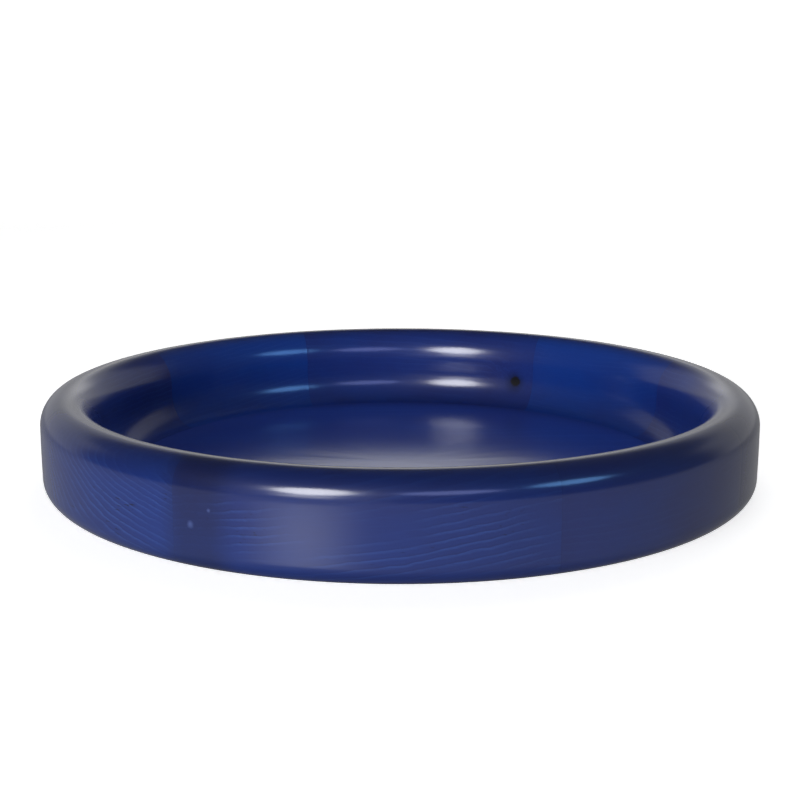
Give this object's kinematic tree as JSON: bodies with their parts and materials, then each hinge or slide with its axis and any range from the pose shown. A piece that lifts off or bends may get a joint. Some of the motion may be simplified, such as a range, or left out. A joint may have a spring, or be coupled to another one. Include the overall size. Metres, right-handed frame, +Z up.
{
  "type": "round tray",
  "caption": "Low round tray of stained and lacquered wood: a jointed ring wall with a rounded rim, coved down to a flat floor panel.",
  "frame": {"origin": "middle of the tray on the surface that it stands on", "axes": "+Z up along the ring's axis; X and Y lie in the floor's plane, +X to the right as seen from the front, which faces -Y"},
  "size_m": [0.4, 0.4, 0.0515],
  "materials": {
    "fork_wood": "dull blue stain under clear gloss lacquer",
    "tongue_wood": "bright blue stain under clear gloss lacquer",
    "panel_wood": "dark blue stain under clear gloss lacquer"
  },
  "bodies": {
    "root": {"fork_segment_1": "fork_wood", "fork_segment_2": "fork_wood", "fork_segment_3": "fork_wood", "fork_segment_4": "fork_wood", "tongue_segment_1": "tongue_wood", "tongue_segment_2": "tongue_wood", "tongue_segment_3": "tongue_wood", "tongue_segment_4": "tongue_wood", "floor_panel": "panel_wood"}
  },
  "joints": []
}
